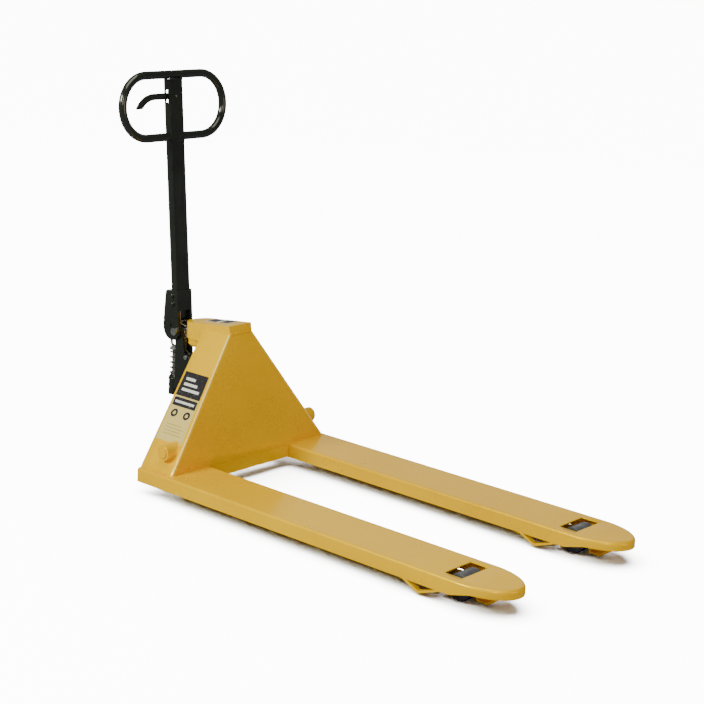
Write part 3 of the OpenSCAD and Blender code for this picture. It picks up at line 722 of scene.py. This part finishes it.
def head_labels():
    """Blank stickers on the head: two dark patches on a white one."""
    back = PANEL_FOOT_X - HEAD_LABEL_BACK
    for name, x0, x1, y0, y1, material, lift in (
            ("head_label_white", 0, 100, -6, 38, LABEL_WHITE, 0.15),
            ("head_label_stripe_a", 4, 44, -4, 36, LABEL_DARK, 0.22),
            ("head_label_stripe_b", 58, 96, -4, 36, LABEL_DARK, 0.22)):
        corners = [(x0, y0), (x1, y0), (x1, y1), (x0, y1)]
        slab_on([lambda proud, x=x, y=y: head_top(back + x * MM, y * MM, proud)
                 for x, y in corners], lift * MM, name, material)


# -------------------------------------------------------------- weld seams

def ring_path(centre, radius, place, count=72):
    """A closed circle of points, put in space by place."""
    return [place(centre[0] + radius * math.cos(a), centre[1] + radius * math.sin(a))
            for a in (2 * math.pi * k / count for k in range(count + 1))]


def foot_seam(fork_in):
    """Path along the foot of the left flange, round the bend and to the fork's edge."""
    bend_x = PANEL_FOOT_X - FRAME_BEND
    path = [(rear_x(FOOT_Z) + BEAD_GAP, FOOT_HALF + 0.5 * MM, FOOT_Z),
            (bend_x, FOOT_HALF + 0.5 * MM, FOOT_Z)]
    path += [(bend_x + FRAME_BEND * math.sin(math.radians(a)),
              FOOT_HALF - FRAME_BEND + FRAME_BEND * math.cos(math.radians(a)), FOOT_Z)
             for a in (30, 60, 90)]
    return path + [(PANEL_FOOT_X, fork_in + BEAD_GAP, FOOT_Z)]


def bend_highlight_seam(left, tag):
    """Rounded ridge along the A-frame's bend in a lighter yellow: a painted highlight line."""
    heights = (FOOT_Z + 2 * MM, 200 * MM, 300 * MM, FLANGE_TOP - 1 * MM)
    corner = [(front_x(z) - 2.4 * MM, frame_half(z) - 2.2 * MM, z) for z in heights]
    path = even_points(mirrored(corner, left), 6 * MM)
    piece("bend_highlight_seam_" + tag, *wire_along(path, SEAM_RADIUS, 16),
          "frame", "yellow_paint", BEND_HIGHLIGHT_PAINT)


def weld_seams():
    """Weld beads where plates meet, in both halves."""
    shaft_low, shaft_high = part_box("rocker_shaft")
    shaft = ((shaft_low.x + shaft_high.x) / 2, (shaft_low.z + shaft_high.z) / 2)
    fork_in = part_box("fork_left")[0].y
    ramp_low, ramp_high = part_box("exit_ramps_left")
    top_half = frame_half(FLANGE_TOP)
    for left, tag in ((True, "left"), (False, "right")):
        weld_bead("weld_foot_" + tag, mirrored(foot_seam(fork_in), left), FOOT_BEAD)
        weld_bead("weld_boss_" + tag,
                  ring_path(shaft, BOSS_RADIUS, lambda x, z: on_flange(x, z, left)), BOSS_BEAD)
        # Ridge along each bend in a lighter yellow: a painted highlight line
        bend_highlight_seam(left, tag)
        seam = [(rear_x(FLANGE_TOP) + BEAD_GAP, top_half - 1 * MM, FLANGE_TOP + 0.5 * MM),
                (front_x(FLANGE_TOP) - 2 * MM, top_half - 1 * MM, FLANGE_TOP + 0.5 * MM)]
        weld_bead("weld_head_" + tag, mirrored(seam, left), HEAD_BEAD)
        for i, x in enumerate((ramp_low.x + 9 * MM, ramp_high.x - 9 * MM)):
            seam = [(x, ramp_low.y + 1 * MM, ramp_high.z), (x, ramp_low.y + 15 * MM, ramp_high.z)]
            weld_bead(f"weld_ramp_{tag}_{i}", mirrored(seam, left), RAMP_BEAD)
    front = front_x(FLANGE_TOP) + 0.3 * MM
    weld_bead("weld_head_front", [(front, 2 * MM - top_half, FLANGE_TOP + 1 * MM),
                                  (front, top_half - 2 * MM, FLANGE_TOP + 1 * MM)], FOOT_BEAD)


# ------------------------------------------------------ springs and fasteners

def plunger_spring():
    """Return spring with closed, ground ends."""
    low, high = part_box("plunger_spring")
    centre = (low + high) / 2
    wire = 3 * MM
    mean = (high.x - low.x) / 2 - wire
    turns, closed_turns, closed_rise = 5.5, 0.75, 0.045
    steps = 300
    rise = high.z - low.z - 2 * wire
    points = []
    for i in range(steps + 1):
        t = turns * i / steps
        inner = min(max((t - closed_turns) / (turns - 2 * closed_turns), 0), 1)
        closed = (min(t, closed_turns) + max(t - turns + closed_turns, 0)) / closed_turns
        z = low.z + wire + rise * (closed_rise * closed + (1 - 2 * closed_rise) * inner)
        a = 2 * math.pi * t
        points.append(Vector((centre.x + mean * math.cos(a), centre.y + mean * math.sin(a), z)))
    obj = piece("coil_spring", *wire_along(points, wire, 12), "pump_unit", "dark_steel")
    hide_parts("plunger_spring")
    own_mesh(obj)


def hexagon_rings(centre, axis, spin, across, height, chamfer):
    """Rings of a chamfered hexagon head standing on centre along axis."""
    side = axis.orthogonal().normalized()
    up = axis.cross(side)
    corner = across / math.sqrt(3)

    def ring(scale, lift, round_off):
        points = []
        for k in range(24):
            a = 2 * math.pi * k / 24 + spin
            local = (k % 4) * math.radians(15) - math.radians(30)
            flat = corner * math.cos(math.radians(30)) / math.cos(local)
            r = (flat * (1 - round_off) + across / 2 * round_off) * scale
            points.append(centre + axis * lift + side * r * math.cos(a) + up * r * math.sin(a))
        return points

    # Foot, edge of the chamfer, its round shoulder, the flat top and its centre mark
    return [ring(1.0, 0, 0), ring(1.0, height - chamfer, 0),
            ring(0.97, height - chamfer * 0.4, 0.6), ring(0.90, height, 1.0),
            ring(0.35, height, 1.0), ring(0.30, height - 0.4 * MM, 1.0)]


def disc_rings(centre, axis, radius, height, edge):
    """Rings of a washer with softened rims, standing on centre along axis."""
    side = axis.orthogonal().normalized()
    up = axis.cross(side)
    return [ring_round(centre + axis * lift, side, up, r, 40)
            for r, lift in ((radius - edge, 0), (radius, edge), (radius, height - edge),
                            (radius - edge, height))]


def socket_fasteners():
    """Hexagon bolts with washers through the tiller's foot."""
    points = [v.co.copy() for v in frame["nodes"]["socket_bolts"].data.vertices]
    low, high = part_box("socket_bolts")
    middle_z = (low.z + high.z) / 2
    for level in ("lower", "upper"):
        bolt = [p for p in points if (p.z > middle_z) == (level == "upper")]
        x = (min(p.x for p in bolt) + max(p.x for p in bolt)) / 2
        z = (min(p.z for p in bolt) + max(p.z for p in bolt)) / 2
        for way, tag in ((-1, "right"), (1, "left")):
            axis = Vector((0, way, 0))
            face = Vector((x, way * (high.y - BOLT_INSET), z))
            piece(f"washer_{level}_{tag}",
                  *tube(disc_rings(face, axis, WASHER_RADIUS, WASHER_HEIGHT, WASHER_EDGE)),
                  "tiller", "black_paint")
            rings = hexagon_rings(face + axis * WASHER_HEIGHT, axis, 0.35 * way,
                                  BOLT_ACROSS, BOLT_HEIGHT, BOLT_CHAMFER)
            head = piece(f"hex_head_{level}_{tag}", *tube(rings), "tiller", "black_paint")
            flat_normals(head)
    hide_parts("socket_bolts")


def pump_details():
    """Filler plug, pressure screw and seam rings of the pump."""
    low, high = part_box("gland_nut")
    axis_x = (low.x + high.x) / 2
    spring_low, spring_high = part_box("plunger_spring")
    barrel_x = (spring_low.x + spring_high.x) / 2
    for i, z in enumerate(PUMP_SEAMS):
        path = [Vector((axis_x + PUMP_RADIUS * math.cos(a), PUMP_RADIUS * math.sin(a), z))
                for a in (math.radians(x) for x in range(-140, 141, 4))]
        piece(f"pump_seam_{i}", *wire_along(path, 1.1 * MM, 8), "pump_unit", "black_paint")
    for name, angle, z in (("filler_plug", -75, FILLER_Z), ("pressure_screw", 75, PRESSURE_Z)):
        a = math.radians(angle)
        out = Vector((math.cos(a), math.sin(a), 0))
        seat = Vector((axis_x, 0, z)) + out * PLUG_SEAT
        piece(name + "_washer", *tube(disc_rings(seat, out, 8 * MM, PLUG_WASHER, 0.4 * MM)),
              "pump_unit", "bright_steel")
        rings = hexagon_rings(seat + out * PLUG_WASHER, out, 0.2,
                              PLUG_ACROSS, PLUG_HEIGHT, BOLT_CHAMFER)
        flat_normals(piece(name, *tube(rings), "pump_unit", "bright_steel"))
    collar_z = spring_low.z - BARREL_DROP
    path = ring_path((barrel_x, 0), BARREL_RADIUS, lambda x, y: Vector((x, y, collar_z)))
    piece("barrel_collar", *wire_along(path, 1.5 * MM, 8, 2.0 * MM), "pump_unit", "black_paint")


def grip_welds():
    """Weld beads where the post meets the grip tube."""
    joint = next(j for j in frame["joints"] if j["name"] == "tiller_tilt")
    pivot = Vector(joint["pos_m"])
    turn = Matrix.Rotation(-POST_LEAN, 4, "Y")
    for name, z in (("weld_grip_low", GRIP_TUBE_Z - GRIP_TUBE_HALF),
                    ("weld_grip_mid", GRIP_TUBE_Z + GRIP_TUBE_HALF),
                    ("weld_grip_top", GRIP_TOP_Z)):
        path = [pivot + turn @ Vector((POST_FACE, y, z)) for y in (-POST_HALF, 0, POST_HALF)]
        rings = []
        for i, (p, side, up) in enumerate(frames_along(even_points(path, BEAD_STEP))):
            swell = GRIP_BEAD * (1 + 0.12 * math.sin(2 * math.pi * i / 3.0))
            rings.append(ring_round(p, side, up, swell, 8))
        piece(name, *tube(rings), "tiller", "black_paint")


def tread_marks():
    """Moulding line round each steer wheel and load roller."""
    count, inset, proud, half_width = 120, 0.35 * MM, 0.34 * MM, 0.5 * MM
    for node, body, slot in (("wheel_tyre_left", "steer_wheel_left", "tyre_rubber"),
                             ("wheel_tyre_right", "steer_wheel_right", "tyre_rubber"),
                             ("load_roller_left", "load_roller_left", "roller_plastic"),
                             ("load_roller_right", "load_roller_right", "roller_plastic")):
        low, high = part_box(node)
        centre = (low + high) / 2
        radius = (high.z - low.z) / 2 - inset
        rings = []
        for k in range(count + 1):
            a = 2 * math.pi * k / count
            out = Vector((math.cos(a), 0, math.sin(a)))
            rings.append(ring_round(centre + out * radius, out, Vector((0, 1, 0)),
                                    proud, 6, half_width))
        # The line meets itself, so it goes without the tube's two end faces
        verts, faces = tube(rings)
        piece("mould_line_" + node, verts, faces[:-2], body, slot)


# -------------------------------------------------------------------- build

for left_side in (True, False):
    fork_shell(left_side)
a_frame_shell()
labels()
head_labels()
weld_seams()
plunger_spring()
socket_fasteners()
pump_details()
grip_welds()
tread_marks()

# Edge rounding of the CAD nodes that stay visible, in mm
SOFTENED = {
    "head_block": 3.0, "handle_socket": 2.5, "pump_body": 1.6, "thrust_collar": 1.2,
    "cross_beam": 1.2, "rocker": 1.2, "handle_post": 1.0, "release_lever": 1.6,
    "rocker_shaft": 1.2, "plunger": 0.7, "gland_nut": 0.8, "valve_lever": 0.6,
}
SOFTENED_PAIRS = {
    "exit_ramps": 1.0, "nose_skid": 1.0, "yoke": 1.0, "yoke_brackets": 1.0,
    "shaft_boss": 1.5, "fork_ribs": 0.8, "wheel_hub": 0.8,
}
for cad_node, rounding in SOFTENED.items():
    soften(cad_node, rounding * MM)
for pair, rounding in SOFTENED_PAIRS.items():
    for side_name in ("left", "right"):
        soften(f"{pair}_{side_name}", rounding * MM)

slots = {entry["node"]: entry["material_slot"] for entry in frame["record"]["subparts"]}
for cad_node, obj in frame["nodes"].items():
    obj.data.materials.clear()
    obj.data.materials.append(MATERIALS[slots[cad_node]])


# ------------------------------------------------------ floor, light, camera

def bright_floor():
    """White studio floor, overexposed as a product shot has it. It is darker to
    the light that bounces off it, so that it does not flood the jack."""
    n = Nodes("white floor")
    path = n.tree.nodes.new("ShaderNodeLightPath")
    bounced = n.mix(path.outputs["Is Glossy Ray"], (0.075, 0.076, 0.080), (0.012, 0.012, 0.012))
    tone = n.mix(path.outputs["Is Camera Ray"], bounced, (0.93, 0.93, 0.94))
    n.bump(n.noise(60, 2), 0.02, 0.5 * MM)
    n.set(Base_Color=tone, Roughness=n.band(n.noise(8, 2), 0.3, 0.7, 0.85, 0.95),
          Specular_IOR_Level=0.0)
    return n.material


def floor_light(floor):
    """Even light from above that falls on the floor alone."""
    data = bpy.data.lights.new("floor light", "SUN")
    data.energy = FLOOR_LIGHT
    data.angle = math.radians(75)
    lamp = bpy.data.objects.new("floor light", data)
    bpy.context.scene.collection.objects.link(lamp)
    lamp.rotation_euler = (math.radians(8), math.radians(-10), 0)
    only_floor = bpy.data.collections.new("lit by the floor light")
    only_floor.objects.link(floor)
    lamp.light_linking.receiver_collection = only_floor


def softbox(name, place, aim, width, height, power, tint=(1, 1, 1)):
    """Rectangular lamp at a place, aimed at a point, that the camera doesn't see."""
    data = bpy.data.lights.new(name, "AREA")
    data.shape = "RECTANGLE"
    data.size = width
    data.size_y = height
    data.energy = power
    data.color = tint
    lamp = bpy.data.objects.new(name, data)
    bpy.context.scene.collection.objects.link(lamp)
    lamp.location = place
    lamp.rotation_euler = (Vector(aim) - Vector(place)).to_track_quat("-Z", "Y").to_euler()
    lamp.visible_camera = False


def studio():
    """White floor, white backdrop and the soft boxes round the jack."""
    floor_mesh = bpy.data.meshes.new("floor")
    reach = 30
    floor_mesh.from_pydata([(-reach, -reach, 0), (reach, -reach, 0),
                            (reach, reach, 0), (-reach, reach, 0)], [], [(0, 1, 2, 3)])
    floor = bpy.data.objects.new("floor", floor_mesh)
    bpy.context.scene.collection.objects.link(floor)
    floor_mesh.materials.append(bright_floor())
    floor_light(floor)

    world = bpy.data.worlds.new("studio")
    bpy.context.scene.world = world
    world.use_nodes = True
    sky = world.node_tree.nodes["Background"]
    sky.inputs["Color"].default_value = (1.0, 0.98, 0.94, 1)
    path = world.node_tree.nodes.new("ShaderNodeLightPath")
    strength = world.node_tree.nodes.new("ShaderNodeMapRange")
    strength.inputs["To Min"].default_value = SKY_LIGHT
    strength.inputs["To Max"].default_value = SKY_SEEN
    world.node_tree.links.new(path.outputs["Is Camera Ray"], strength.inputs["Value"])
    world.node_tree.links.new(strength.outputs["Result"], sky.inputs["Strength"])
    softbox("key", (-1.6, -4.2, 3.0), (-0.2, 0.0, 0.3), 1.4, 1.2, 265, LEMON)
    softbox("strip", (3.3, -3.9, 3.1), (0.0, 0.0, 0.3), 0.5, 1.8, 70, WARM)
    softbox("front", (4.6, 0.6, 1.6), (-0.2, 0.0, 0.2), 2.0, 1.6, 34, AMBER)
    softbox("top", (0.2, -0.6, 4.6), (0.2, 0.0, 0.0), 3.0, 3.0, 110, LEMON)
    softbox("back", (-3.8, 6.0, 2.9), (0.4, 0.0, 0.1), 9.0, 4.0, 85)


def photo_camera():
    """Camera turned by its yaw, pitch and roll to the photograph's view."""
    ahead = Vector((-math.sin(CAMERA_YAW) * math.cos(CAMERA_PITCH),
                    math.cos(CAMERA_YAW) * math.cos(CAMERA_PITCH), -math.sin(CAMERA_PITCH)))
    right = Vector((math.cos(CAMERA_YAW), math.sin(CAMERA_YAW), 0))
    up = right.cross(ahead)
    rolled = right * math.cos(CAMERA_ROLL) + up * math.sin(CAMERA_ROLL)
    raised = up * math.cos(CAMERA_ROLL) - right * math.sin(CAMERA_ROLL)
    data = bpy.data.cameras.new("photo view")
    data.lens = CAMERA_LENS
    data.sensor_width = 36
    data.clip_end = 100
    camera = bpy.data.objects.new("photo view", data)
    bpy.context.scene.collection.objects.link(camera)
    matrix = Matrix((rolled, raised, -ahead)).transposed().to_4x4()
    matrix.translation = Vector(CAMERA_AT)
    camera.matrix_world = matrix
    bpy.context.scene.camera = camera


studio()
photo_camera()
